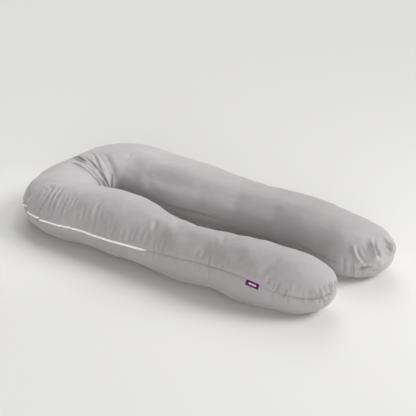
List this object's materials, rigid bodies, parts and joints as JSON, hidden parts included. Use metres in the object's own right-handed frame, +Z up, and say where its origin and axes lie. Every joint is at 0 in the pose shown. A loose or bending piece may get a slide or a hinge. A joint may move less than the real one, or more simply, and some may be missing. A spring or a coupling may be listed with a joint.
{
  "type": "body pillow",
  "caption": "U-shaped body pillow in a soft grey cover, lying flat: two stuffed arms joined by a bend, edge seam, zip round the bend and a small woven tag.",
  "frame": {"origin": "under the middle of the overall box, on the surface the pillow lies on", "axes": "+Z up; +X from the bend towards the two tips, along the arms; the arm with the tag is on the -Y side"},
  "size_m": [1.4034, 0.6548, 0.2151],
  "materials": {
    "cover": "matt fine grey jersey",
    "zip": "white nylon coil on woven tape",
    "tag": "dense purple damask weave"
  },
  "bodies": {
    "root": {"pillow": "cover", "zip": "zip", "tag": "tag"}
  },
  "joints": []
}
